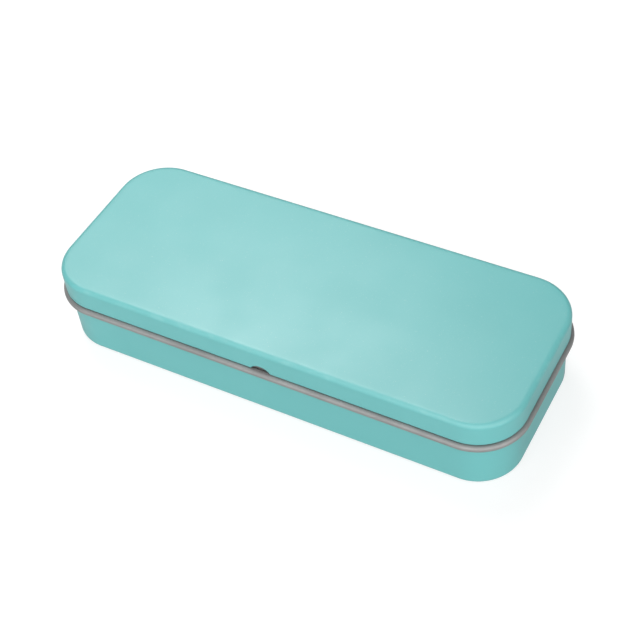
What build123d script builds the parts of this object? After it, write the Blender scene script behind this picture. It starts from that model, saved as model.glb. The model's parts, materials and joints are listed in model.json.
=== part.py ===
from build123d import *
import os
from math import cos, radians, sin, sqrt

# Hinged pencil tin, closed, in millimetres.
# X runs along the tin, the front is at -Y, the hinges are at +Y and Z is up.
# The origin is on the table, under the middle of the lid.
# Sections are drawn with X as the distance outside the lid's outline and Y as the height.
# Bends that go all round the tin are rows of flats, a few degrees apart.

# The closed tin
LID_LENGTH = 200.0
LID_WIDTH = 78.5
TIN_HEIGHT = 36.0
CORNER_RADIUS = 19.5
SHEET = 0.3

# The base and its curled rim
RIM_HEIGHT = 24.9
RIM_CURL = 2.9
RIM_STANDS_OUT = 1.3
RIM_CURL_ANGLE = 300.0
BASE_EDGE_RADIUS = 2.5

# The angle between one flat of a bend and the next
CURL_FLAT = 30.0
EDGE_FLAT = 22.5
HEM_FLAT = 45.0

# The lid and its curled edge
LID_GAP = 0.3
LID_CURL = 1.3
LID_CURL_ANGLE = 210.0
LID_EDGE_RADIUS = 2.0
NOTCH_WIDTH = 9.0
NOTCH_HEIGHT = 2.8

# The collar and the two small bumps that the lid clicks over
COLLAR_FIT = 0.05
COLLAR_DEPTH = 9.0
NECK_HEIGHT = 6.0
NECK_HEM = 1.6
NECK_HEM_RADIUS = 0.25
BUMP_SPACING = 90.0
BUMP_RADIUS = 3.0
BUMP_STANDS_OUT = 0.2
BUMP_BELOW_TOP = 2.3

# The hinges
HINGE_SPACING = 116.0
HINGE_WIDTH = 18.0
HINGE_SHEET = 0.4
HINGE_CLEARANCE = 0.15
KNUCKLE_WIDTH = 6.0
KNUCKLE_END_GAP = 0.3
KNUCKLE_ANGLE = 275.0
AXIS_ABOVE_RIM = 0.5
PIN_RADIUS = 0.7
PIN_RUNNING_CLEARANCE = 0.05
PIN_HEAD_RADIUS = 1.0
PIN_HEAD_LENGTH = 0.5
PIN_END_GAP = 0.1
BASE_LEAF_BOTTOM = 11.0
LID_LEAF_HEIGHT = 4.0
LEAF_BEND_RADIUS = 0.6
WELD_RADIUS = 1.1
WELD_DEPTH = 0.12
WELD_SPACING = 9.0

# Places that follow from the sizes above
rim_radius = RIM_CURL / 2
rim_offset = RIM_STANDS_OUT - rim_radius
rim_middle = RIM_HEIGHT - rim_radius
wall_offset = RIM_STANDS_OUT - RIM_CURL + SHEET
lid_bottom = RIM_HEIGHT + LID_GAP
lid_curl_radius = LID_CURL / 2
collar_offset = wall_offset - SHEET - COLLAR_FIT
neck_top = RIM_HEIGHT + NECK_HEIGHT

knuckle_bore = PIN_RADIUS + PIN_RUNNING_CLEARANCE
knuckle_middle = knuckle_bore + HINGE_SHEET / 2
knuckle_radius = knuckle_bore + HINGE_SHEET
axis_offset = RIM_STANDS_OUT + HINGE_CLEARANCE + knuckle_radius
axis_height = RIM_HEIGHT + AXIS_ABOVE_RIM
knuckle_slot = KNUCKLE_WIDTH + 2 * KNUCKLE_END_GAP


def outline(offset):
    """The tin's outline from above, moved out from the lid's outline by an offset."""
    return RectangleRounded(LID_LENGTH + 2 * offset, LID_WIDTH + 2 * offset, CORNER_RADIUS + offset)


def block(offset, bottom, top):
    """A solid on the outline between two heights."""
    return Pos(0, 0, bottom) * extrude(outline(offset), amount=top - bottom)


def bend(middle, radius, start_angle, turn, flat):
    """Points on a bend of the sheet's middle line: flats that touch its circle from outside."""
    count = round(abs(turn) / flat)
    step = turn / count
    corner_radius = radius / cos(radians(step / 2))
    points = [(radius, start_angle)]
    points += [(corner_radius, start_angle + step * (index + 0.5)) for index in range(count)]
    points += [(radius, start_angle + turn)]
    x, y = middle
    return [(x + r * cos(radians(angle)), y + r * sin(radians(angle))) for r, angle in points]


def sheet_strip(path, thickness):
    """The section of a sheet whose middle follows a path."""
    return trace(path, line_width=thickness)


def all_round(section):
    """A section carried round the whole tin: a quarter turn at each corner, straight between."""
    half_length = LID_LENGTH / 2 - CORNER_RADIUS
    half_width = LID_WIDTH / 2 - CORNER_RADIUS
    corners = (
        (0, half_length, half_width, 2 * half_length),
        (90, -half_length, half_width, 2 * half_width),
        (180, -half_length, -half_width, 2 * half_length),
        (270, half_length, -half_width, 2 * half_width),
    )
    placed = Pos(CORNER_RADIUS, 0) * section
    pieces = []
    for start_angle, x, y, run in corners:
        start = radians(start_angle)
        end = radians(start_angle + 90)
        start_plane = Plane((x, y, 0), x_dir=(cos(start), sin(start), 0), z_dir=(sin(start), -cos(start), 0))
        end_plane = Plane((x, y, 0), x_dir=(cos(end), sin(end), 0), z_dir=(sin(end), -cos(end), 0))
        pieces.append(revolve(start_plane * placed, axis=Axis((x, y, 0), (0, 0, 1)), revolution_arc=90))
        pieces.append(extrude(end_plane * placed, amount=run, dir=(-sin(end), cos(end), 0)))
    return pieces[0].fuse(*pieces[1:]).clean()


def make_base():
    """Drawn tray whose top edge is curled outwards into the rim."""
    edge_radius = BASE_EDGE_RADIUS - SHEET / 2
    floor_edge = wall_offset - BASE_EDGE_RADIUS
    edge = bend((floor_edge, BASE_EDGE_RADIUS), edge_radius, -90, 90, EDGE_FLAT)
    curl = bend((rim_offset, rim_middle), rim_radius - SHEET / 2, 180, -RIM_CURL_ANGLE, CURL_FLAT)
    side = all_round(sheet_strip(Polyline(*edge, *curl), SHEET))
    return side.fuse(block(floor_edge, 0, SHEET)).clean()


def make_lid():
    """Drawn lid with its lower edge curled inwards and a thumb notch in the front."""
    edge_radius = LID_EDGE_RADIUS - SHEET / 2
    edge = bend((-LID_EDGE_RADIUS, TIN_HEIGHT - LID_EDGE_RADIUS), edge_radius, 90, -90, EDGE_FLAT)
    curl_middle = (-lid_curl_radius, lid_bottom + lid_curl_radius)
    curl = bend(curl_middle, lid_curl_radius - SHEET / 2, 0, -LID_CURL_ANGLE, CURL_FLAT)
    side = all_round(sheet_strip(Polyline(*edge, *curl), SHEET))
    shell = side.fuse(block(-LID_EDGE_RADIUS, TIN_HEIGHT - SHEET, TIN_HEIGHT)).clean()

    notch_radius = (NOTCH_WIDTH ** 2 / 4 + NOTCH_HEIGHT ** 2) / (2 * NOTCH_HEIGHT)
    notch_middle = lid_bottom + NOTCH_HEIGHT - notch_radius
    notch = Pos(0, -LID_WIDTH / 2, notch_middle) * Rot(90, 0, 0) * Cylinder(notch_radius, 4 * LID_CURL)
    return shell - notch


def make_collar():
    """Band of bare sheet with its neck hemmed inwards at the top, and two bumps on the front."""
    middle = collar_offset - SHEET / 2
    hem_height = neck_top - SHEET / 2 - NECK_HEM_RADIUS
    bottom = (middle, RIM_HEIGHT - COLLAR_DEPTH)
    turn = bend((middle - NECK_HEM_RADIUS, hem_height), NECK_HEM_RADIUS, 0, 180, HEM_FLAT)
    hem_end = (middle - 2 * NECK_HEM_RADIUS, hem_height - NECK_HEM)
    collar = all_round(sheet_strip(Polyline(bottom, *turn, hem_end), SHEET))

    front = -LID_WIDTH / 2 - collar_offset
    bump_depth = BUMP_RADIUS - BUMP_STANDS_OUT
    outer_half = Pos(0, -BUMP_RADIUS - bump_depth + SHEET, 0) * Box(
        2 * BUMP_RADIUS, 2 * BUMP_RADIUS, 2 * BUMP_RADIUS
    )
    for side in (-1, 1):
        place = Pos(side * BUMP_SPACING / 2, front + bump_depth, neck_top - BUMP_BELOW_TOP)
        hollow = Sphere(BUMP_RADIUS - SHEET)
        bump = (Sphere(BUMP_RADIUS) - hollow) & outer_half
        collar = (collar - place * hollow) + place * bump
    return collar


def hinge_strip(path, width):
    """A leaf pressed from strip: its section, at the back of the tin, carried across the hinge."""
    plane = Plane((-width / 2, LID_WIDTH / 2, 0), x_dir=(0, 1, 0), z_dir=(1, 0, 0))
    return extrude(plane * sheet_strip(path, HINGE_SHEET), amount=width)


def weld_marks(offset, height):
    """Two shallow round marks left by the welding tips in a leaf's outer face."""
    mark = Rot(90, 0, 0) * Cylinder(WELD_RADIUS, 2 * WELD_DEPTH)
    y = LID_WIDTH / 2 + offset
    return [Pos(side * WELD_SPACING / 2, y, height) * mark for side in (-1, 1)]


def make_base_leaf():
    """Leaf welded to the base: it cranks out under the rim and rises to two knuckles."""
    plate = wall_offset + HINGE_SHEET / 2
    upright = axis_offset - knuckle_middle
    rim_clear = rim_radius + HINGE_SHEET / 2 + HINGE_CLEARANCE
    low_bend = rim_middle + plate - rim_offset - rim_clear * sqrt(2)
    high_bend = low_bend + upright - plate
    leaf = FilletPolyline(
        (plate, BASE_LEAF_BOTTOM),
        (plate, low_bend),
        (upright, high_bend),
        (upright, axis_height),
        radius=LEAF_BEND_RADIUS,
    )
    knuckle = CenterArc((axis_offset, axis_height), knuckle_middle, 180, -KNUCKLE_ANGLE)
    strip = hinge_strip(leaf + knuckle, HINGE_WIDTH)
    slot_bottom = axis_height - knuckle_radius - KNUCKLE_END_GAP
    slot = Pos(0, LID_WIDTH / 2 + axis_offset, slot_bottom) * Box(
        knuckle_slot, 4 * knuckle_radius, 4 * knuckle_radius, align=(Align.CENTER, Align.CENTER, Align.MIN)
    )
    strip = strip - slot
    for mark in weld_marks(wall_offset + HINGE_SHEET, (BASE_LEAF_BOTTOM + low_bend) / 2):
        strip = strip - mark
    return strip


def make_lid_leaf():
    """Leaf welded to the lid: a narrow tongue slants down to the middle knuckle."""
    plate = HINGE_SHEET / 2
    slant = knuckle_middle / sqrt(2)
    touch_offset = axis_offset + slant
    touch_height = axis_height + slant
    bend = touch_height + touch_offset - plate
    leaf = FilletPolyline(
        (plate, bend + LID_LEAF_HEIGHT),
        (plate, bend),
        (touch_offset, touch_height),
        radius=LEAF_BEND_RADIUS,
    )
    knuckle = CenterArc((axis_offset, axis_height), knuckle_middle, 45, -KNUCKLE_ANGLE)
    strip = hinge_strip(leaf + knuckle, HINGE_WIDTH)
    side_width = (HINGE_WIDTH - KNUCKLE_WIDTH) / 2
    for side in (-1, 1):
        x = side * (KNUCKLE_WIDTH + side_width) / 2
        strip = strip - Pos(x, LID_WIDTH / 2, bend) * Box(
            side_width, 4 * axis_offset, 2 * bend, align=(Align.CENTER, Align.CENTER, Align.MAX)
        )
    for mark in weld_marks(HINGE_SHEET, bend + LID_LEAF_HEIGHT / 2):
        strip = strip - mark
    return strip


def make_pin():
    """Wire pin with both ends upset so that it can't slide out of the knuckles."""
    length = HINGE_WIDTH + 2 * (PIN_END_GAP + PIN_HEAD_LENGTH)
    wire = Cylinder(PIN_RADIUS, length)
    for side in (-1, 1):
        head = Pos(0, 0, side * (length - PIN_HEAD_LENGTH) / 2) * Cylinder(PIN_HEAD_RADIUS, PIN_HEAD_LENGTH)
        wire = wire + head
    return Pos(0, LID_WIDTH / 2 + axis_offset, axis_height) * Rot(0, 90, 0) * wire


os.makedirs("parts", exist_ok=True)
export_step(make_base(), "parts/base.step")
export_step(make_lid(), "parts/lid.step")
export_step(make_collar(), "parts/collar.step")
for name, side in (("left", -1), ("right", 1)):
    place = Pos(side * HINGE_SPACING / 2, 0, 0)
    export_step(place * make_base_leaf(), f"parts/hinge_{name}_base_leaf.step")
    export_step(place * make_lid_leaf(), f"parts/hinge_{name}_lid_leaf.step")
    export_step(place * make_pin(), f"parts/hinge_{name}_pin.step")
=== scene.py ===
"""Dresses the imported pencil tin: curled tinplate shells, collar, wire-pin hinges, studio and camera.

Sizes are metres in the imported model's frame: X along the tin, thumb notch at -Y, hinges at +Y, Z up.
Sections are drawn with the distance outside the lid's outline and the height above the table.
"""

import json
import logging
from collections.abc import Callable, Sequence
from dataclasses import dataclass, field
from enum import Enum
from math import ceil, copysign, cos, pi, radians, sin, sqrt, tan
from typing import NamedTuple

import bmesh
import bpy
from mathutils import Matrix, Vector


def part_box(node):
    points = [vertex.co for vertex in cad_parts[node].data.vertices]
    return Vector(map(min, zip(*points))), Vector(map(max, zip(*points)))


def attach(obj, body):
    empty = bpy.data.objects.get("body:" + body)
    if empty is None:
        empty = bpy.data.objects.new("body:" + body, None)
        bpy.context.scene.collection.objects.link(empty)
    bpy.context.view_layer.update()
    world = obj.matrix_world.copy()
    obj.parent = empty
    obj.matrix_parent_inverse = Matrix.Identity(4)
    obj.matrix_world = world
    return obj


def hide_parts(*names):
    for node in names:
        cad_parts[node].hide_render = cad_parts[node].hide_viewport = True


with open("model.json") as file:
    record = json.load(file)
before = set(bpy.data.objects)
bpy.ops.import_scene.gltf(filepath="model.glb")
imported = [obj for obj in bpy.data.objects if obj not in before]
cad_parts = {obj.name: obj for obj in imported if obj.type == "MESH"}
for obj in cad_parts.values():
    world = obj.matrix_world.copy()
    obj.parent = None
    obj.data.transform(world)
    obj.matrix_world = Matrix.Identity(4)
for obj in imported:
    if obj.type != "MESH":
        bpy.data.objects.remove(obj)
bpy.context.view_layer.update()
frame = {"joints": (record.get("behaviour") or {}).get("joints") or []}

log = logging.getLogger("pencil_tin")

MM = 0.001
MICRON = 0.000001
SHARP_ANGLE = radians(35)
SLANT = pi / 4
WHITE = (1.0, 1.0, 1.0, 1.0)

Colour = tuple[float, float, float]
Range = tuple[float, float]
Material = bpy.types.Material
Piece = bpy.types.Object
Node = bpy.types.Node
Socket = bpy.types.NodeSocket
Value = Socket | float
Inputs = dict[int | str, Socket | float | Sequence[float]]


class Side(Enum):
    """The faces of a sheet, seen along its path, in the order of its materials."""

    LEFT = 0
    RIGHT = 1
    CUT = 2


class Body(Enum):
    """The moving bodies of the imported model."""

    BASE = "base"
    LID = "lid"


class Slot(Enum):
    """The record's material slots."""

    PAINTED = "painted_tinplate"
    BARE = "bare_tinplate"
    HINGE = "hinge_steel"
    PIN = "pin_wire"


class Effect(Enum):
    """Effects that several finishes share."""

    SHEET_WAVES = "sheet_waves"
    ROLLED_GRAIN = "rolled_grain"
    HAIR_SCRATCHES = "hair_scratches"
    EDGE_RUB = "edge_rub"
    DUST_FILM = "dust_film"
    WELD_HEAT = "weld_heat"


@dataclass(frozen=True)
class TinSizes:
    """Sizes that the tin's pieces share."""

    length: float
    width: float
    height: float
    rim_height: float
    rim_stands_out: float
    lid_bottom: float
    axis: Vector
    corner_radius: float = 19.5 * MM
    sheet: float = 0.3 * MM
    rim_curl: float = 2.9 * MM
    bend_margin: float = 0.5 * MM
    hinge_spacing: float = 116 * MM

    @classmethod
    def from_frame(cls) -> "TinSizes":
        """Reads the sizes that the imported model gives.

        Returns:
            The sizes of this tin.
        """
        lid_low, lid_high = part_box("lid")
        _, base_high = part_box("base")
        return cls(
            length=lid_high.x - lid_low.x,
            width=lid_high.y - lid_low.y,
            height=lid_high.z,
            rim_height=base_high.z,
            rim_stands_out=base_high.x - lid_high.x,
            lid_bottom=lid_low.z,
            axis=Vector(frame["joints"][0]["pos_m"]),
        )

    @property
    def wall_offset(self) -> float:
        """Outer face of the base's wall, outside the lid's outline."""
        return self.rim_stands_out - self.rim_curl + self.sheet

    @property
    def hinge_centres(self) -> dict[str, float]:
        """The middle of each hinge along the tin, by side."""
        return {"left": -self.hinge_spacing / 2, "right": self.hinge_spacing / 2}


class Station(NamedTuple):
    """A place on the lid's outline with the direction that points out of the tin."""

    x: float
    y: float
    out_x: float
    out_y: float

    def place(self, offset: float, height: float) -> Vector:
        """The place at a distance outside the outline and a height."""
        return Vector((self.x + offset * self.out_x, self.y + offset * self.out_y, height))


class SectionPoint(NamedTuple):
    """A point of a sheet's middle line in section, with the direction to its left."""

    offset: float
    height: float
    left_offset: float
    left_height: float

    def beside(self, side: float) -> tuple[float, float]:
        """The offset and the height at a distance to the left of the line."""
        return self.offset + side * self.left_offset, self.height + side * self.left_height


@dataclass
class SheetPath:
    """The middle line of a bent sheet in section, drawn as runs and turns."""

    offset: float
    height: float
    heading: float
    turn_step: float = radians(9)
    points: list[SectionPoint] = field(default_factory=list)

    def __post_init__(self) -> None:
        """Starts the line with its first point."""
        self._mark()

    def _mark(self) -> None:
        """Keeps the present place with the direction to its left."""
        self.points.append(SectionPoint(self.offset, self.height, -sin(self.heading), cos(self.heading)))

    def run(self, length: float) -> "SheetPath":
        """Goes straight on.

        Args:
            length: How far.

        Returns:
            The path itself.
        """
        self.offset += cos(self.heading) * length
        self.height += sin(self.heading) * length
        self._mark()
        return self

    def wall(self, length: float, margin: float) -> "SheetPath":
        """Runs on from bend to bend, with a strip of a margin next to each so that the wall shades flat."""
        return self.run(margin).run(length - 2 * margin).run(margin)

    def turn(self, radius: float, angle: float) -> "SheetPath":
        """Bends to the left by a positive angle and to the right by a negative one.

        Args:
            radius: Radius of the middle line.
            angle: How far it turns, in radians.

        Returns:
            The path itself.
        """
        side = copysign(radius, angle)
        middle_offset = self.offset - side * sin(self.heading)
        middle_height = self.height + side * cos(self.heading)
        pieces = ceil(abs(angle) / self.turn_step)
        for _ in range(pieces):
            self.heading += angle / pieces
            self.offset = middle_offset + side * sin(self.heading)
            self.height = middle_height - side * cos(self.heading)
            self._mark()
        return self


@dataclass
class TinOutline:
    """Stations round the lid's outline, from the middle of the back over the left end and the front."""

    sizes: TinSizes
    corner_pieces: int = 24
    margin: float = 1.5 * MM

    def stations(self, front: Sequence[float] = (), seam: float = 0.0) -> list[Station]:
        """Lists the stations counter-clockwise, seen from above.

        Args:
            front: Further places along the front, in rising order.
            seam: Width of an open seam in the middle of the back, or nothing for a closed ring.

        Returns:
            The stations in order.
        """
        half_length = self.sizes.length / 2 - self.sizes.corner_radius
        half_width = self.sizes.width / 2 - self.sizes.corner_radius
        near_length = half_length - self.margin
        near_width = half_width - self.margin
        back = self.sizes.width / 2
        end = self.sizes.length / 2
        ring = [Station(-seam / 2, back, 0, 1), Station(-near_length, back, 0, 1)]
        ring += self._corner(-half_length, half_width, 90)
        ring += [Station(-end, near_width, -1, 0), Station(-end, -near_width, -1, 0)]
        ring += self._corner(-half_length, -half_width, 180)
        ring += [Station(x, -back, 0, -1) for x in (-near_length, *front, near_length)]
        ring += self._corner(half_length, -half_width, 270)
        ring += [Station(end, -near_width, 1, 0), Station(end, near_width, 1, 0)]
        ring += self._corner(half_length, half_width, 0)
        ring += [Station(near_length, back, 0, 1)]
        if seam:
            ring.append(Station(seam / 2, back, 0, 1))
        return ring

    def _corner(self, x: float, y: float, start: float) -> list[Station]:
        """Stations round one corner.

        Args:
            x: The corner's middle along the tin.
            y: The corner's middle across the tin.
            start: Direction of its first station, in degrees.

        Returns:
            The stations in order.
        """
        radius = self.sizes.corner_radius
        angles = [radians(start + 90 * step / self.corner_pieces) for step in range(self.corner_pieces + 1)]
        return [Station(x + radius * cos(a), y + radius * sin(a), cos(a), sin(a)) for a in angles]


@dataclass
class SheetForm:
    """A sheet of even thickness whose section is carried past a row of stations.

    Its cells are numbered by the station and the path point at which they start.
    """

    path: SheetPath
    stations: list[Station]
    thickness: float
    ring: bool = True
    panel: bool = False
    press: Callable[[Vector], Vector] = lambda place: place
    keep: Callable[[int, int], bool] = lambda column, row: True

    def build(self, name: str, materials: Sequence[Material]) -> Piece:
        """Makes the closed mesh.

        Args:
            name: The piece's name.
            materials: Its materials, in the order of Side.

        Returns:
            The piece.
        """
        shape = bmesh.new()
        left, right = (
            {
                (column, row): shape.verts.new(self.press(station.place(*point.beside(half))))
                for column, station in enumerate(self.stations)
                for row, point in enumerate(self.path.points)
            }
            for half in (self.thickness / 2, -self.thickness / 2)
        )
        sides = ((Side.LEFT, left), (Side.RIGHT, right))

        def face(corners: list[bmesh.types.BMVert], side: Side) -> None:
            """Adds one face of a side."""
            shape.faces.new(corners).material_index = side.value

        count = len(self.stations)
        columns = range(count if self.ring else count - 1)
        rows = range(len(self.path.points) - 1)
        cells = [(column, row) for column in columns for row in rows if self.keep(column, row)]
        kept = set(cells)
        for column, row in cells:
            before, after = (column - 1) % count, (column + 1) % count
            corners = [(column, row), (after, row), (after, row + 1), (column, row + 1)]
            for side, vertices in sides:
                face([vertices[corner] for corner in corners], side)
            neighbours = ((column, row - 1), (after, row), (column, row + 1), (before, row))
            for neighbour, start, end in zip(neighbours, corners, corners[1:] + corners[:1]):
                if neighbour not in kept and not (self.panel and neighbour[1] < 0):
                    face([left[start], left[end], right[end], right[start]], Side.CUT)
        if self.panel:
            for side, vertices in sides:
                face([vertices[column, 0] for column in range(count)], side)
        loose = [vertex for vertex in shape.verts if not vertex.link_faces]
        bmesh.ops.delete(shape, geom=loose, context="VERTS")
        bmesh.ops.recalc_face_normals(shape, faces=shape.faces)
        return finished_object(name, shape, materials)


def finished_object(name: str, shape: bmesh.types.BMesh, materials: Sequence[Material]) -> Piece:
    """Turns a bmesh into a smooth-shaded object with its sharp edges kept.

    Args:
        name: The piece's name.
        shape: The bmesh, which is freed.
        materials: Its materials, in the order that its faces are numbered by.

    Returns:
        The new object, linked to the scene.
    """
    mesh = bpy.data.meshes.new(name)
    for material in materials:
        mesh.materials.append(material)
    shape.to_mesh(mesh)
    shape.free()
    shade(mesh)
    piece = bpy.data.objects.new(name, mesh)
    bpy.context.scene.collection.objects.link(piece)
    return piece


def set_up(thing: object, **settings: object) -> None:
    """Gives a thing its settings."""
    for name, value in settings.items():
        setattr(thing, name, value)


def shade(mesh: bpy.types.Mesh) -> None:
    """Shades a mesh smooth, with creases where it is sharp."""
    mesh.polygons.foreach_set("use_smooth", [True] * len(mesh.polygons))
    mesh.set_sharp_from_angle(angle=SHARP_ANGLE)


def apply_modifiers(piece: Piece) -> None:
    """Replaces a piece's mesh by what its modifiers make of it.

    Args:
        piece: The piece, which loses its modifiers.
    """
    evaluated = piece.evaluated_get(bpy.context.evaluated_depsgraph_get())
    mesh = bpy.data.meshes.new_from_object(evaluated)
    piece.modifiers.clear()
    piece.data = mesh
    mesh.name = piece.name
    shade(mesh)


def cut_away(piece: Piece, cutters: Sequence[Piece]) -> None:
    """Cuts closed forms out of a piece, whose cut faces take the forms' material, and removes the forms.

    Args:
        piece: What is cut.
        cutters: The closed forms.
    """
    for cutter in cutters:
        boolean = piece.modifiers.new("cut", "BOOLEAN")
        set_up(boolean, operation="DIFFERENCE", solver="EXACT", material_mode="TRANSFER", object=cutter)
    apply_modifiers(piece)
    for cutter in cutters:
        bpy.data.objects.remove(cutter)


def soften_edges(piece: Piece, width: float) -> None:
    """Rounds a piece's sharp edges a little, as tumbling leaves them.

    Args:
        piece: What is rounded.
        width: Width of the rounding.
    """
    bevel = piece.modifiers.new("soft edges", "BEVEL")
    set_up(bevel, width=width, segments=2, limit_method="ANGLE", angle_limit=SHARP_ANGLE, material=-1)
    apply_modifiers(piece)


class NodeWriter:
    """Writes nodes into one shader tree.

    The numbers are the Mix node's sockets for colours, which share their names with those for plain values.
    """

    FIRST_COLOUR = 6
    SECOND_COLOUR = 7
    MIXED_COLOUR = 2

    def __init__(self, tree: bpy.types.NodeTree) -> None:
        """Starts on a tree."""
        self.tree = tree

    def fill(self, node: Node, inputs: Inputs) -> Node:
        """Fills inputs of a node.

        Args:
            node: The node.
            inputs: By name or number, the socket that each is joined to, or its number or colour.

        Returns:
            The node.
        """
        for key, value in inputs.items():
            if isinstance(value, Socket):
                self.tree.links.new(value, node.inputs[key])
            else:
                node.inputs[key].default_value = value
        return node

    def node(self, kind: str, inputs: Inputs | None = None, **settings: object) -> Node:
        """Adds a node.

        Args:
            kind: Blender's name of the node.
            inputs: What its inputs are filled with.
            settings: Properties of the node.

        Returns:
            The node.
        """
        node = self.tree.nodes.new(kind)
        set_up(node, **settings)
        return self.fill(node, inputs or {})

    def math(self, operation: str, first: Value, *others: Value) -> Socket:
        """A sum on one value, or on two or more that are taken in one after the other.

        Args:
            operation: Blender's name of the sum.
            first: First value.
            others: Further values.

        Returns:
            The result.
        """
        result = first
        for other in others or (0.0,):
            result = self.node("ShaderNodeMath", {0: result, 1: other}, operation=operation).outputs[0]
        return result

    def plus(self, value: Value, *extras: tuple[Socket, Value]) -> Socket:
        """Adds to a value some other values, each multiplied by its share."""
        return self.math("ADD", value, *(self.math("MULTIPLY", other, share) for other, share in extras))

    def spread(self, value: Socket, limits: Range, onto: Range = (0.0, 1.0)) -> Socket:
        """Stretches a value's range smoothly onto another and keeps it inside.

        Args:
            value: What is stretched.
            limits: Values that give the two ends of the new range.
            onto: The new range.

        Returns:
            The stretched value.
        """
        inputs = dict(zip(("From Min", "From Max", "To Min", "To Max"), (*limits, *onto)))
        inputs["Value"] = value
        return self.node("ShaderNodeMapRange", inputs, interpolation_type="SMOOTHSTEP").outputs["Result"]

    def mix(self, share: Value, first: Socket | Colour, second: Socket | Colour) -> Socket:
        """Mixes two colours.

        Args:
            share: How much of the second, from 0 to 1.
            first: First colour.
            second: Second colour.

        Returns:
            The mixed colour.
        """
        first, second = (part if isinstance(part, Socket) else (*part, 1.0) for part in (first, second))
        inputs = {0: share, self.FIRST_COLOUR: first, self.SECOND_COLOUR: second}
        return self.node("ShaderNodeMix", inputs, data_type="RGBA").outputs[self.MIXED_COLOUR]

    def coordinate(self, name: str) -> Socket:
        """One of the piece's own coordinates, by Blender's name of it."""
        return self.node("ShaderNodeTexCoord").outputs[name]

    def parts(self, name: str) -> Sequence[Socket]:
        """The X, Y and Z of one of the piece's own coordinates."""
        return tuple(self.node("ShaderNodeSeparateXYZ", {0: self.coordinate(name)}).outputs)

    def noise(self, *stretch: float, detail: float, turned: float = 0.0) -> Socket:
        """Smooth noise over the piece's own coordinates.

        Args:
            stretch: Waves per metre along X, Y and Z, or one number for all three.
            detail: How many finer waves are added.
            turned: Angle that the noise is turned by about every axis, in radians.

        Returns:
            The noise, from 0 to 1.
        """
        scale = stretch * (3 // len(stretch))
        inputs = {"Vector": self.coordinate("Object"), "Rotation": (turned,) * 3, "Scale": scale}
        vector = self.node("ShaderNodeMapping", inputs).outputs["Vector"]
        inputs = {"Vector": vector, "Scale": 1.0, "Detail": detail}
        return self.node("ShaderNodeTexNoise", inputs).outputs["Fac"]

    def bump(self, height: Socket, depth: float) -> Socket:
        """The normal of a surface that is raised by a height, by the depth where the height is 1."""
        return self.node("ShaderNodeBump", {"Height": height, "Distance": depth}).outputs["Normal"]


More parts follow.
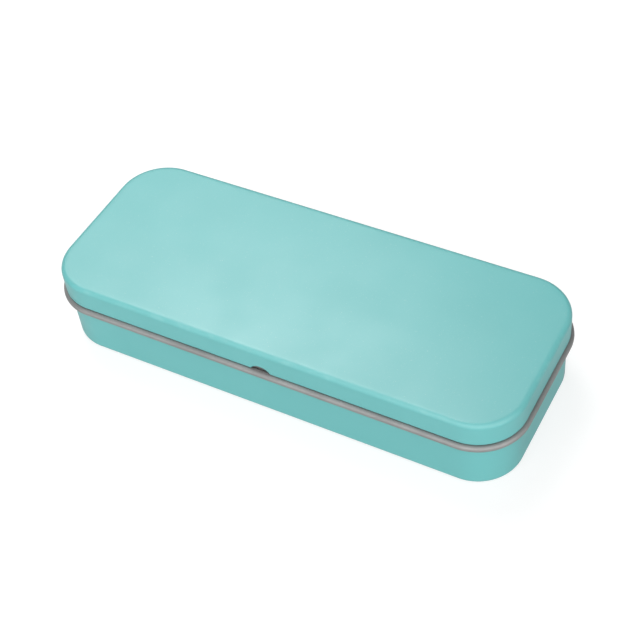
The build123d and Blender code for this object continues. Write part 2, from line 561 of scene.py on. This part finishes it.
@dataclass
class EffectGroups:
    """Node groups that several finishes place, each built once.

    A range says from which value on something starts to show and at which it shows fully. That value is a
    noise, the upward part of a normal, or the distance from the middle of a weld.
    """

    fine_grain_share: float = 0.6
    noise_middle: float = 0.5
    scratch_angles: tuple[float, ...] = (radians(31), radians(-52))
    scratch_lines: Range = (0.71, 0.76)
    scratch_patches: Range = (0.42, 0.62)
    scratch_patch_angle: float = 1.0
    off_upright: Range = (0.15, 0.5)
    off_level: Range = (0.98, 0.8)
    rub_patches: Range = (0.5, 0.68)
    looking_up: Range = (0.5, 1.0)
    dust_specks: Range = (0.80, 0.86)
    ring_outside: Range = (2.3 * MM, 1.2 * MM)
    ring_inside: Range = (0.7 * MM, 1.2 * MM)
    weld_spot: Range = (1.15 * MM, 0.95 * MM)
    built: dict[Effect, bpy.types.NodeTree] = field(default_factory=dict)

    def __post_init__(self) -> None:
        """Builds the groups."""
        self._sheet_waves()
        self._rolled_grain()
        self._hair_scratches()
        self._edge_rub()
        self._dust_film()
        self._weld_heat()

    def _group(
        self, effect: Effect, inputs: Sequence[str], outputs: Sequence[str]
    ) -> tuple[NodeWriter, Node, Node]:
        """Starts a group.

        Args:
            effect: What the group is.
            inputs: Names of its number inputs.
            outputs: Names of its number outputs.

        Returns:
            A writer, the group's input node and its output node.
        """
        tree = bpy.data.node_groups.new(effect.value, "ShaderNodeTree")
        for direction, labels in (("INPUT", inputs), ("OUTPUT", outputs)):
            for label in labels:
                tree.interface.new_socket(label, in_out=direction, socket_type="NodeSocketFloat")
        self.built[effect] = tree
        writer = NodeWriter(tree)
        return writer, writer.node("NodeGroupInput"), writer.node("NodeGroupOutput")

    def place(self, writer: NodeWriter, effect: Effect, **values: float) -> Node:
        """Places a group in a material, with values for the group's inputs."""
        return writer.node("ShaderNodeGroup", values, node_tree=self.built[effect])

    def _sheet_waves(self) -> None:
        """Slow unevenness of thin sheet, and the fine peel of a sprayed or rolled coat."""
        writer, given, result = self._group(Effect.SHEET_WAVES, ["peel"], ["height"])
        waves, peel = writer.noise(11, 19, 15, detail=1.0), writer.noise(900, detail=2.0)
        writer.fill(result, {"height": writer.plus(waves, (peel, given.outputs["peel"]))})

    def _rolled_grain(self) -> None:
        """Fine lines along the tin that rolling leaves in sheet."""
        writer, given, result = self._group(Effect.ROLLED_GRAIN, ["strength"], ["grain"])
        fine = writer.math("MULTIPLY", writer.noise(24, 2600, 2600, detail=3.0), self.fine_grain_share)
        both = writer.plus(fine, (writer.noise(9, 420, 420, detail=2.0), 1 - self.fine_grain_share))
        centred = writer.math("SUBTRACT", both, self.noise_middle)
        writer.fill(result, {"grain": writer.math("MULTIPLY", centred, given.outputs["strength"])})

    def _hair_scratches(self) -> None:
        """Sparse hair-thin scratches in two directions."""
        writer, given, result = self._group(Effect.HAIR_SCRATCHES, ["amount"], ["scratch"])
        lines = [
            writer.spread(writer.noise(22, 1500, 900, detail=1.0, turned=angle), self.scratch_lines)
            for angle in self.scratch_angles
        ]
        patches = writer.noise(30, detail=1.0, turned=self.scratch_patch_angle)
        patches = writer.spread(patches, self.scratch_patches)
        either = writer.math("MAXIMUM", *lines)
        writer.fill(result, {"scratch": writer.math("MULTIPLY", either, patches, given.outputs["amount"])})

    def _edge_rub(self) -> None:
        """Where a rounded edge is handled: faces that lean between level and upright, in patches."""
        writer, given, result = self._group(Effect.EDGE_RUB, ["amount"], ["rub"])
        lean = writer.math("ABSOLUTE", writer.parts("Normal")[2])
        limits = [writer.spread(lean, limit) for limit in (self.off_upright, self.off_level)]
        patches = writer.spread(writer.noise(160, detail=4.0), self.rub_patches)
        writer.fill(result, {"rub": writer.math("MULTIPLY", *limits, patches, given.outputs["amount"])})

    def _dust_film(self) -> None:
        """Thin dust with a few specks on faces that look up."""
        writer, given, result = self._group(Effect.DUST_FILM, ["film", "specks"], ["dust"])
        level = writer.spread(writer.parts("Normal")[2], self.looking_up)
        film = writer.math("MULTIPLY", writer.noise(46, detail=3.0), given.outputs["film"])
        specks = writer.spread(writer.noise(3100, detail=0.0), self.dust_specks)
        both = writer.plus(film, (specks, given.outputs["specks"]))
        writer.fill(result, {"dust": writer.math("MULTIPLY", both, level)})

    def _weld_heat(self) -> None:
        """Rings of heat colour round the spot welds of the hinge leaves."""
        places = ["hinge_x", "weld_x", "weld_z"]
        writer, given, result = self._group(Effect.WELD_HEAT, places, ["ring", "spot"])
        hinge_x, weld_x, weld_z = (given.outputs[label] for label in places)
        x, _, z = writer.parts("Object")
        from_hinge = writer.math("SUBTRACT", writer.math("ABSOLUTE", x), hinge_x)
        along = writer.math("SUBTRACT", writer.math("ABSOLUTE", from_hinge), weld_x)
        up = writer.math("SUBTRACT", z, weld_z)
        distance = writer.math("SQRT", writer.plus(writer.math("MULTIPLY", along, along), (up, up)))
        slopes = [writer.spread(distance, limit) for limit in (self.ring_outside, self.ring_inside)]
        spot = writer.spread(distance, self.weld_spot)
        writer.fill(result, {"ring": writer.math("MULTIPLY", *slopes), "spot": spot})


def start_material(name: str, colour: Colour) -> tuple[Material, NodeWriter, Node]:
    """Makes a material with a Principled shader.

    Args:
        name: The material's name.
        colour: Its colour in the solid view.

    Returns:
        The material, a writer of its tree and its shader.
    """
    material = bpy.data.materials.new(name)
    material.use_nodes = True
    material.diffuse_color = (*colour, 1.0)
    shader = material.node_tree.nodes["Principled BSDF"]
    return material, NodeWriter(material.node_tree), shader


@dataclass(frozen=True)
class LacquerFinish:
    """Satin lacquer on tinplate."""

    name: str = "mint_lacquer"
    colour: Colour = (0.148, 0.490, 0.486)
    deep_colour: Colour = (0.142, 0.480, 0.476)
    rubbed_colour: Colour = (0.42, 0.70, 0.68)
    dust_colour: Colour = (0.72, 0.76, 0.74)
    roughness: float = 0.33
    roughness_swing: float = 0.03
    refraction: float = 1.6
    wave_depth: float = 25 * MICRON
    peel_share: float = 0.012
    scratches: float = 0.2
    scratch_dulling: float = 0.12
    edge_rub: float = 0.12
    dust_film: float = 0.035
    dust_specks: float = 0.35
    dust_dulling: float = 0.5

    def material(self, effects: EffectGroups) -> Material:
        """Makes the material.

        Args:
            effects: The shared node groups.

        Returns:
            The material.
        """
        material, writer, shader = start_material(self.name, self.colour)
        waves = effects.place(writer, Effect.SHEET_WAVES, peel=self.peel_share)
        scratches = effects.place(writer, Effect.HAIR_SCRATCHES, amount=self.scratches)
        rub = effects.place(writer, Effect.EDGE_RUB, amount=self.edge_rub)
        dust = effects.place(writer, Effect.DUST_FILM, film=self.dust_film, specks=self.dust_specks)
        cloud = writer.spread(writer.noise(32, detail=3.0), (0.35, 0.65))
        colour = writer.mix(cloud, self.colour, self.deep_colour)
        colour = writer.mix(rub.outputs["rub"], colour, self.rubbed_colour)
        colour = writer.mix(dust.outputs["dust"], colour, self.dust_colour)
        swing = (self.roughness - self.roughness_swing, self.roughness + self.roughness_swing)
        inputs = {
            "Base Color": colour,
            "IOR": self.refraction,
            "Normal": writer.bump(waves.outputs["height"], self.wave_depth),
            "Roughness": writer.plus(
                writer.spread(writer.noise(70, detail=4.0), (0.3, 0.7), swing),
                (scratches.outputs["scratch"], self.scratch_dulling),
                (dust.outputs["dust"], self.dust_dulling),
            ),
        }
        writer.fill(shader, inputs)
        return material


@dataclass(frozen=True)
class SheetFinish:
    """Bare rolled metal, less metallic where it has gone dull."""

    name: str
    colour: Colour
    dull_colour: Colour
    roughness: float
    metallic: float = 1.0
    cloud_dulling: float = 0.10
    grain: float = 1.0
    grain_depth: float = 1.5 * MICRON
    grain_contrast: float = 0.8
    grain_dulling: float = 0.25
    scratches: float = 1.0
    scratch_dulling: float = 0.15
    edge_rub: float = 0.3
    rubbed_brightness: float = 1.15
    weld_rows: tuple[dict[str, float], ...] = ()
    ring_colour: Colour = (0.30, 0.22, 0.16)
    ring_share: float = 0.6
    spot_colour: Colour = (0.36, 0.36, 0.37)
    spot_share: float = 0.5
    spot_dulling: float = 0.15

    def material(self, effects: EffectGroups) -> Material:
        """Makes the material.

        Args:
            effects: The shared node groups.

        Returns:
            The material.
        """
        material, writer, shader = start_material(self.name, self.colour)
        grain = effects.place(writer, Effect.ROLLED_GRAIN, strength=self.grain).outputs["grain"]
        scratches = effects.place(writer, Effect.HAIR_SCRATCHES, amount=self.scratches)
        rub = effects.place(writer, Effect.EDGE_RUB, amount=self.edge_rub)
        cloud = writer.spread(writer.noise(85, detail=4.0), (0.3, 0.75))
        dull = writer.spread(writer.plus(cloud, (grain, self.grain_contrast)), (0.0, 1.0))
        colour = writer.mix(dull, self.colour, self.dull_colour)
        bright = tuple(min(1.0, part * self.rubbed_brightness) for part in self.colour)
        colour = writer.mix(rub.outputs["rub"], colour, bright)
        roughness = writer.plus(
            self.roughness - self.cloud_dulling / 2,
            (cloud, self.cloud_dulling),
            (grain, self.grain_dulling),
            (scratches.outputs["scratch"], self.scratch_dulling),
        )
        for row in self.weld_rows:
            heat = effects.place(writer, Effect.WELD_HEAT, **row)
            ring, spot = heat.outputs["ring"], heat.outputs["spot"]
            colour = writer.mix(writer.math("MULTIPLY", ring, self.ring_share), colour, self.ring_colour)
            colour = writer.mix(writer.math("MULTIPLY", spot, self.spot_share), colour, self.spot_colour)
            roughness = writer.plus(roughness, (spot, self.spot_dulling))
        normal = writer.bump(grain, self.grain_depth)
        inputs = {"Base Color": colour, "Metallic": self.metallic, "Roughness": roughness, "Normal": normal}
        writer.fill(shader, inputs)
        return material


def settle(piece: Piece, body: Body, node: str) -> None:
    """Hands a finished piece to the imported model.

    Args:
        piece: The finished piece.
        body: The body that it moves with.
        node: The CAD node that it stands for.
    """
    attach(piece, body.value)
    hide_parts(node)
    faces = len(piece.data.polygons)
    log.info("%s: %d faces, rides on %s, stands for %s", piece.name, faces, body.value, node)


@dataclass
class BaseShell:
    """Drawn tray, painted outside, with its top edge curled outwards into the bare rim."""

    sizes: TinSizes
    outline: TinOutline
    lacquer: Material
    bare: Material
    edge_radius: float = 2.5 * MM
    curl_angle: float = radians(300)
    floor_margin: float = 1.0 * MM

    def section(self) -> SheetPath:
        """Draws the tray's section.

        Returns:
            Its path, from just inside the floor's edge to the end of the curl.
        """
        sizes = self.sizes
        half_sheet = sizes.sheet / 2
        curl_middle = sizes.rim_height - sizes.rim_curl / 2
        start = sizes.wall_offset - self.edge_radius - self.floor_margin
        path = SheetPath(start, half_sheet, heading=0.0)
        path.run(self.floor_margin).turn(self.edge_radius - half_sheet, pi / 2)
        path.wall(curl_middle - path.height, sizes.bend_margin)
        return path.turn(sizes.rim_curl / 2 - half_sheet, -self.curl_angle)

    def build(self) -> None:
        """Makes the tray, whose bare inside the curl turns out."""
        form = SheetForm(self.section(), self.outline.stations(), self.sizes.sheet, panel=True)
        piece = form.build("drawn_tray", (self.bare, self.lacquer, self.bare))
        settle(piece, Body.BASE, "base")


@dataclass
class LidShell:
    """Drawn lid, painted outside, its lower edge curled inwards, with a thumb notch in the front."""

    sizes: TinSizes
    outline: TinOutline
    lacquer: Material
    bare: Material
    edge_radius: float = 2.0 * MM
    curl: float = 1.3 * MM
    curl_angle: float = radians(210)
    top_margin: float = 1.0 * MM
    notch_width: float = 9.0 * MM
    notch_height: float = 2.8 * MM
    notch_segments: int = 96

    def section(self) -> SheetPath:
        """Draws the lid's section.

        Returns:
            Its path, from just inside the top's edge to the end of the curl.
        """
        sizes = self.sizes
        half_sheet = sizes.sheet / 2
        curl_middle = sizes.lid_bottom + self.curl / 2
        path = SheetPath(-self.edge_radius - self.top_margin, sizes.height - half_sheet, heading=0.0)
        path.run(self.top_margin).turn(self.edge_radius - half_sheet, -pi / 2)
        path.wall(path.height - curl_middle, sizes.bend_margin)
        return path.turn(self.curl / 2 - half_sheet, -self.curl_angle)

    def notch(self) -> Piece:
        """Makes the round bar whose edge cuts the thumb notch.

        Returns:
            The bar.
        """
        radius = (self.notch_width ** 2 / 4 + self.notch_height ** 2) / (2 * self.notch_height)
        middle = self.sizes.lid_bottom + self.notch_height - radius
        place = Matrix.Translation((0, -self.sizes.width / 2, middle)) @ Matrix.Rotation(pi / 2, 4, "X")
        shape = bmesh.new()
        bmesh.ops.create_cone(
            shape,
            cap_ends=True,
            segments=self.notch_segments,
            radius1=radius,
            radius2=radius,
            depth=4 * self.curl,
            matrix=place,
        )
        return finished_object("notch", shape, (self.bare,))

    def build(self) -> None:
        """Makes the lid, bare inside and at the cut edges."""
        stations = self.outline.stations(front=(-self.notch_width, self.notch_width))
        form = SheetForm(self.section(), stations, self.sizes.sheet, panel=True)
        piece = form.build("drawn_lid", (self.lacquer, self.bare, self.bare))
        cut_away(piece, [self.notch()])
        settle(piece, Body.LID, "lid")


@dataclass
class CollarBand:
    """Bare band pressed into the base, hemmed at the top, butted at the back, with two bumps in front."""

    sizes: TinSizes
    outline: TinOutline
    bare: Material
    fit: float = 0.05 * MM
    depth: float = 9.0 * MM
    neck_height: float = 6.0 * MM
    hem: float = 1.6 * MM
    hem_radius: float = 0.25 * MM
    hem_step: float = radians(18)
    seam: float = 0.12 * MM
    bump_spacing: float = 90.0 * MM
    bump_stands_out: float = 0.2 * MM
    bump_reach: float = 1.5 * MM
    bump_below_top: float = 2.3 * MM
    bump_pieces: int = 14

    @property
    def bump_height(self) -> float:
        """Height of the bumps' middles."""
        return self.sizes.rim_height + self.neck_height - self.bump_below_top

    @property
    def bump_pitch(self) -> float:
        """Size of the cells across the bumps."""
        return 2 * self.bump_reach / self.bump_pieces

    def section(self) -> SheetPath:
        """Draws the band's section.

        Returns:
            Its path, from its lower edge over the hem, with close rows across the bumps.
        """
        sizes = self.sizes
        half_sheet = sizes.sheet / 2
        middle = sizes.wall_offset - sizes.sheet - self.fit - half_sheet
        top = sizes.rim_height + self.neck_height - half_sheet - self.hem_radius
        path = SheetPath(middle, sizes.rim_height - self.depth, heading=pi / 2, turn_step=self.hem_step)
        path.run(self.bump_height - self.bump_reach - path.height)
        for _ in range(self.bump_pieces):
            path.run(self.bump_pitch)
        path.run(top - path.height).turn(self.hem_radius, pi)
        return path.run(self.hem)

    def bumps(self, place: Vector) -> Vector:
        """Presses a point of the front outwards where the two bumps are.

        Args:
            place: A point of the band.

        Returns:
            Where it ends up.
        """
        if place.y > 0 or place.y < -self.sizes.width / 2:
            return place
        across = abs(place.x) - self.bump_spacing / 2
        reach = sqrt(across ** 2 + (place.z - self.bump_height) ** 2) / self.bump_reach
        on_neck = place.y < -self.sizes.width / 2 - self.sizes.wall_offset + 2 * self.sizes.sheet + self.fit
        if reach >= 1 or not on_neck:
            return place
        return place - Vector((0, self.bump_stands_out * (1 + cos(pi * reach)) / 2, 0))

    def build(self) -> None:
        """Makes the band."""
        steps = range(-self.bump_pieces // 2, self.bump_pieces // 2 + 1)
        front = [side * self.bump_spacing / 2 + step * self.bump_pitch for side in (-1, 1) for step in steps]
        stations = self.outline.stations(front=front, seam=self.seam)
        form = SheetForm(self.section(), stations, self.sizes.sheet, ring=False, press=self.bumps)
        settle(form.build("collar_band", [self.bare] * len(Side)), Body.BASE, "collar")


@dataclass
class Hinge:
    """One pressed hinge: a leaf with two knuckles, a leaf with one, and the wire pin through them.

    Both leaves bend by the slant, which is half a right angle.
    """

    sizes: TinSizes
    name: str
    middle: float
    width: float = 18.0 * MM
    sheet: float = 0.4 * MM
    clearance: float = 0.15 * MM
    knuckle_width: float = 6.0 * MM
    knuckle_end_gap: float = 0.3 * MM
    knuckle_angle: float = radians(275)
    pin_radius: float = 0.7 * MM
    pin_segments: int = 40
    running_clearance: float = 0.05 * MM
    head_radius: float = 1.0 * MM
    head_length: float = 0.5 * MM
    head_round: float = 0.2 * MM
    head_pieces: int = 6
    head_flat_share: float = 0.6
    pin_end_gap: float = 0.1 * MM
    base_leaf_bottom: float = 11.0 * MM
    lid_leaf_height: float = 4.0 * MM
    bend_radius: float = 0.6 * MM
    weld_radius: float = 1.1 * MM
    weld_depth: float = 0.12 * MM
    weld_spacing: float = 9.0 * MM
    weld_ball_segments: int = 40
    weld_ball_rings: int = 56
    soft_edge: float = 0.07 * MM

    @property
    def knuckle_middle(self) -> float:
        """Radius of the knuckles' middle line."""
        return self.pin_radius + self.running_clearance + self.sheet / 2

    @property
    def axis_offset(self) -> float:
        """How far the pin stands behind the lid's outline."""
        return self.sizes.axis.y - self.sizes.width / 2

    @property
    def eased(self) -> float:
        """How much of a run a bend takes up on each side."""
        return self.bend_radius * tan(SLANT / 2)

    @property
    def weld_heights(self) -> tuple[float, float]:
        """Heights of the marks on the base's leaf and on the lid's leaf."""
        return (self.base_leaf_bottom + self._crank()[0]) / 2, self._tongue_bend() + self.lid_leaf_height / 2

    @property
    def weld_rows(self) -> tuple[dict[str, float], ...]:
        """Where the marks on the base's leaf and on the lid's leaf are, alike on both hinges."""
        along = {"hinge_x": self.sizes.hinge_spacing / 2, "weld_x": self.weld_spacing / 2}
        return tuple({**along, "weld_z": height} for height in self.weld_heights)

    def _columns(self, half_widths: Sequence[float]) -> list[Station]:
        """Stations across the hinge at these distances each side of its middle, from the outside in."""
        places = [-half for half in half_widths] + [half for half in reversed(half_widths)]
        return [Station(self.middle + x, self.sizes.width / 2, 0, 1) for x in places]

    def _crank(self) -> tuple[float, float]:
        """Works out where the base's leaf passes under the rim.

        Returns:
            The heights at which it bends out and up again.
        """
        sizes = self.sizes
        plate = sizes.wall_offset + self.sheet / 2
        rim_radius = sizes.rim_curl / 2
        rim_clear = rim_radius + self.sheet / 2 + self.clearance
        rim_middle_offset = sizes.rim_stands_out - rim_radius
        low = sizes.rim_height - rim_radius + plate - rim_middle_offset - rim_clear * sqrt(2)
        return low, low + self.axis_offset - self.knuckle_middle - plate

    def _tongue_bend(self) -> float:
        """Height at which the lid's leaf bends out to its tongue."""
        slant = self.knuckle_middle / sqrt(2)
        return self.sizes.axis.z + slant + self.axis_offset + slant - self.sheet / 2

    def _weld_balls(self, face: float, height: float, steel: Material) -> list[Piece]:
        """Makes the large balls whose caps press a leaf's two round weld marks.

        Args:
            face: Where the leaf's outer face is, behind the lid's outline.
            height: Height of the marks.
            steel: Finish of the leaf.

        Returns:
            The balls.
        """
        radius = (self.weld_radius ** 2 + self.weld_depth ** 2) / (2 * self.weld_depth)
        y = self.sizes.width / 2 + face + radius - self.weld_depth
        counts = {"u_segments": self.weld_ball_segments, "v_segments": self.weld_ball_rings}
        turned = Matrix.Rotation(pi / 2, 4, "X")
        balls = []
        for shift in (-self.weld_spacing / 2, self.weld_spacing / 2):
            place = Matrix.Translation((self.middle + shift, y, height)) @ turned
            ball = bmesh.new()
            bmesh.ops.create_uvsphere(ball, **counts, radius=radius, matrix=place)
            balls.append(finished_object("weld_mark", ball, (steel,)))
        return balls

    def base_leaf(self) -> SheetForm:
        """Bends the leaf that is welded to the base.

        Returns:
            The bent sheet.
        """
        low, high = self._crank()
        slot_bottom = self.sizes.axis.z - self.knuckle_middle - self.sheet / 2 - self.knuckle_end_gap
        path = SheetPath(self.sizes.wall_offset + self.sheet / 2, self.base_leaf_bottom, heading=pi / 2)
        path.run(low - self.eased - path.height).turn(self.bend_radius, -SLANT)
        path.run((high - low) * sqrt(2) - 2 * self.eased).turn(self.bend_radius, SLANT)
        path.run(slot_bottom - path.height)
        slot_row = len(path.points) - 1
        path.run(self.sizes.axis.z - slot_bottom).turn(self.knuckle_middle, -self.knuckle_angle)

        columns = self._columns((self.width / 2, self.knuckle_width / 2 + self.knuckle_end_gap))
        return SheetForm(
            path, columns, self.sheet, ring=False, keep=lambda column, row: row < slot_row or column != 1
        )

    def lid_leaf(self) -> SheetForm:
        """Bends the leaf that is welded to the lid.

        Returns:
            The bent sheet.
        """
        reach = self.axis_offset + self.knuckle_middle / sqrt(2) - self.sheet / 2
        path = SheetPath(self.sheet / 2, self._tongue_bend() + self.lid_leaf_height, heading=-pi / 2)
        path.run(self.lid_leaf_height - self.eased)
        tongue_row = len(path.points) - 1
        path.turn(self.bend_radius, SLANT).run(reach * sqrt(2) - self.eased)
        path.turn(self.knuckle_middle, -self.knuckle_angle)

        columns = self._columns((self.width / 2, self.knuckle_width / 2))
        return SheetForm(
            path, columns, self.sheet, ring=False, keep=lambda column, row: row < tongue_row or column == 1
        )

    def pin(self, wire: Material) -> Piece:
        """Makes the wire pin with its two upset ends, turned about its own middle line.

        Args:
            wire: Its finish.

        Returns:
            The pin.
        """
        end = self.width / 2 + self.pin_end_gap + self.head_length
        neck = end - self.head_length
        inner = self.head_radius - self.head_round
        profile = [(end, 0.0), (end, inner * self.head_flat_share)]
        for step in range(self.head_pieces + 1):
            angle = radians(90 * step / self.head_pieces)
            x = end - self.head_round + self.head_round * cos(angle)
            profile.append((x, inner + self.head_round * sin(angle)))
        profile += [(neck, self.head_radius), (neck, self.pin_radius)]
        profile.append((neck - self.sizes.bend_margin, self.pin_radius))
        profile += [(-x, radius) for x, radius in reversed(profile)]

        shape = bmesh.new()
        rings = []
        for x, radius in profile:
            count = self.pin_segments if radius else 1
            turns = [2 * pi * step / count for step in range(count)]
            places = [Vector((self.middle + x, radius * cos(turn), radius * sin(turn))) for turn in turns]
            rings.append([shape.verts.new(self.sizes.axis + place) for place in places])
        for ring, after in zip(rings, rings[1:]):
            for step in range(self.pin_segments):
                places = ((ring, step), (ring, step + 1), (after, step + 1), (after, step))
                corners = [vertices[index % len(vertices)] for vertices, index in places]
                shape.faces.new(list(dict.fromkeys(corners)))
        bmesh.ops.recalc_face_normals(shape, faces=shape.faces)
        return finished_object(f"hinge_{self.name}_wire", shape, (wire,))

    def build(self, steel: Material, wire: Material) -> None:
        """Makes and settles the hinge's three pieces.

        Args:
            steel: Finish of the leaves.
            wire: Finish of the pin.
        """
        leaves = (
            ("lower", "base", Body.BASE, self.base_leaf(), self.sizes.wall_offset + self.sheet),
            ("upper", "lid", Body.LID, self.lid_leaf(), self.sheet),
        )
        for (place, shell, body, form, face), height in zip(leaves, self.weld_heights):
            leaf = form.build(f"hinge_{self.name}_{place}_leaf", [steel] * len(Side))
            cut_away(leaf, self._weld_balls(face, height, steel))
            soften_edges(leaf, self.soft_edge)
            settle(leaf, body, f"hinge_{self.name}_{shell}_leaf")
        settle(self.pin(wire), Body.BASE, f"hinge_{self.name}_pin")


def direction(azimuth: float, elevation: float) -> Vector:
    """The direction out to a place round the tin, by its angles in degrees."""
    turn, rise = radians(azimuth), radians(elevation)
    return Vector((sin(turn) * cos(rise), -cos(turn) * cos(rise), sin(rise)))


@dataclass(frozen=True)
class SoftLight:
    """A rectangular studio softbox that looks at the tin, placed by angles in degrees."""

    name: str
    azimuth: float
    elevation: float
    width: float
    height: float
    power: float
    distance: float = 1.0

    def build(self, target: Vector) -> None:
        """Places the light.

        Args:
            target: The point that it looks at.
        """
        towards = direction(self.azimuth, self.elevation)
        light = bpy.data.lights.new(self.name, "AREA")
        set_up(light, shape="RECTANGLE", energy=self.power, size=self.width, size_y=self.height)
        lamp = bpy.data.objects.new(self.name, light)
        lamp.location = target + towards * self.distance
        lamp.rotation_euler = towards.to_track_quat("Z", "Y").to_euler()
        bpy.context.scene.collection.objects.link(lamp)


@dataclass
class Studio:
    """Pale light table under a soft sky that is brighter in front of the tin, with softboxes round it.

    A glow range is that of the floor close by and further off, or that of the sky beside and in front.
    """

    floor_size: float = 12.0
    floor_colour: Colour = (0.36, 0.36, 0.36)
    floor_paling: float = 0.02
    floor_roughness: float = 0.9
    floor_height: float = -0.1 * MM
    floor_shift: float = 1.0
    floor_glow: Range = (0.70, 1.0)
    floor_glow_reach: Range = (0.15, 0.60)
    floor_cast_glow: float = 0.18
    sky_glow: Range = (0.08, 2.25)
    front: tuple[float, float, float] = (0.50, -0.86, 0.06)
    lights: tuple[SoftLight, ...] = (
        SoftLight("back box", azimuth=225, elevation=62, width=0.45, height=0.45, power=2.75),
        SoftLight("back left box", azimuth=234, elevation=50, width=0.45, height=0.45, power=1.1),
        SoftLight("back right box", azimuth=216, elevation=50, width=0.45, height=0.45, power=1.0),
        SoftLight("overhead box", azimuth=250, elevation=68, width=0.35, height=0.35, power=0.4),
        SoftLight("front box", azimuth=355, elevation=40, width=0.60, height=0.45, power=0.5),
        SoftLight("left strip", azimuth=303, elevation=63, width=0.30, height=0.12, power=0.7),
        SoftLight("right box", azimuth=90, elevation=30, width=0.50, height=0.50, power=0.3),
    )

    def floor(self) -> None:
        """Lays the floor, which glows as a light table does, whiter further off, and is open from below.

        Its middle is shifted so that the diagonal of its one face stays clear of the tin.
        """
        material, writer, shader = start_material("light_table", self.floor_colour)
        tone = writer.spread(writer.noise(3, detail=1.0), (0.3, 0.7))
        paler = tuple(part + self.floor_paling for part in self.floor_colour)
        distance = writer.node("ShaderNodeVectorMath", {0: writer.coordinate("Object")}, operation="LENGTH")
        glow = writer.spread(distance.outputs["Value"], self.floor_glow_reach, self.floor_glow)
        looked_at = writer.node("ShaderNodeLightPath").outputs["Is Camera Ray"]
        more = writer.math("SUBTRACT", glow, self.floor_cast_glow)
        inputs = {
            "Base Color": writer.mix(tone, self.floor_colour, paler),
            "Roughness": self.floor_roughness,
            "Emission Color": WHITE,
            "Emission Strength": writer.plus(self.floor_cast_glow, (looked_at, more)),
        }
        lit = writer.fill(shader, inputs).outputs["BSDF"]
        clear = writer.node("ShaderNodeBsdfTransparent").outputs["BSDF"]
        below = writer.node("ShaderNodeNewGeometry").outputs["Backfacing"]
        sides = writer.node("ShaderNodeMixShader", {0: below, 1: lit, 2: clear})
        writer.fill(material.node_tree.nodes["Material Output"], {"Surface": sides.outputs[0]})
        shape = bmesh.new()
        place = Matrix.Translation((self.floor_shift, 0, self.floor_height))
        bmesh.ops.create_grid(shape, x_segments=1, y_segments=1, size=self.floor_size / 2, matrix=place)
        finished_object("studio_floor", shape, (material,))

    def sky(self) -> None:
        """Surrounds the tin with light that is brightest in front and plain white to look at."""
        world = bpy.data.worlds.new("studio_sky")
        world.use_nodes = True
        writer = NodeWriter(world.node_tree)
        inputs = {0: writer.coordinate("Generated"), 1: self.front}
        towards = writer.node("ShaderNodeVectorMath", inputs, operation="DOT_PRODUCT")
        given = writer.spread(towards.outputs["Value"], (0.0, 1.0), self.sky_glow)
        looked_at = writer.node("ShaderNodeLightPath").outputs["Is Camera Ray"]
        strength = writer.math("MAXIMUM", given, looked_at)
        writer.fill(world.node_tree.nodes["Background"], {"Color": WHITE, "Strength": strength})
        bpy.context.scene.world = world

    def build(self, target: Vector) -> None:
        """Builds the floor, the sky and the lights.

        Args:
            target: The middle of the tin.
        """
        self.floor()
        self.sky()
        for light in self.lights:
            light.build(target)
        bpy.context.scene.view_settings.view_transform = "Standard"


@dataclass(frozen=True)
class PhotoCamera:
    """The camera fitted to the photograph's outlines, with angles in degrees and image sizes in pixels."""

    azimuth: float = 33.33
    elevation: float = 47.39
    roll: float = -7.15
    distance: float = 0.5509
    focal_pixels: float = 1383.0
    image_pixels: float = 640.0
    shift_right: float = -8.83
    shift_up: float = -5.56
    sensor_mm: float = 36.0
    clip_start: float = 0.01

    def build(self, target: Vector) -> None:
        """Places the camera.

        Args:
            target: The middle of the tin, which it looks at but for the two shifts.
        """
        turn, roll = radians(self.azimuth), radians(self.roll)
        back = direction(self.azimuth, self.elevation)
        level = Vector((cos(turn), sin(turn), 0))
        upright = back.cross(level)
        right = cos(roll) * level + sin(roll) * upright
        up = cos(roll) * upright - sin(roll) * level
        metres_per_pixel = self.distance / self.focal_pixels
        place = target + self.distance * back
        place += metres_per_pixel * (self.shift_up * up - self.shift_right * right)

        camera = bpy.data.objects.new("photo_camera", bpy.data.cameras.new("photo_camera"))
        lens = self.focal_pixels / self.image_pixels * self.sensor_mm
        set_up(camera.data, sensor_width=self.sensor_mm, lens=lens, clip_start=self.clip_start)
        camera.matrix_world = Matrix.Translation(place) @ Matrix((right, up, back)).transposed().to_4x4()
        bpy.context.scene.collection.objects.link(camera)
        bpy.context.scene.camera = camera


def main() -> None:
    """Builds the tin's pieces, then the studio and the camera."""
    logging.basicConfig(level=logging.INFO, format="%(name)s %(message)s")
    sizes = TinSizes.from_frame()
    outline = TinOutline(sizes)
    hinges = [Hinge(sizes, name, middle) for name, middle in sizes.hinge_centres.items()]

    welds = hinges[0].weld_rows
    finishes = (
        LacquerFinish(),
        SheetFinish("bare_tin", (0.33, 0.33, 0.327), (0.29, 0.29, 0.287), roughness=0.50, metallic=0.4),
        SheetFinish("collar_tin", (0.66, 0.66, 0.65), (0.61, 0.61, 0.60), roughness=0.46),
        SheetFinish("hinge_steel", (0.56, 0.58, 0.60), (0.44, 0.45, 0.46), roughness=0.34, weld_rows=welds),
        SheetFinish("pin_wire", (0.52, 0.54, 0.56), (0.38, 0.39, 0.40), roughness=0.26, scratches=0.4),
    )
    effects = EffectGroups()
    lacquer, bare, collar_tin, steel, wire = (finish.material(effects) for finish in finishes)

    BaseShell(sizes, outline, lacquer, bare).build()
    LidShell(sizes, outline, lacquer, bare).build()
    CollarBand(sizes, outline, collar_tin).build()
    for hinge in hinges:
        hinge.build(steel, wire)

    middle = Vector((0, 0, sizes.height / 2))
    Studio().build(middle)
    PhotoCamera().build(middle)


if __name__ == "__main__":
    main()
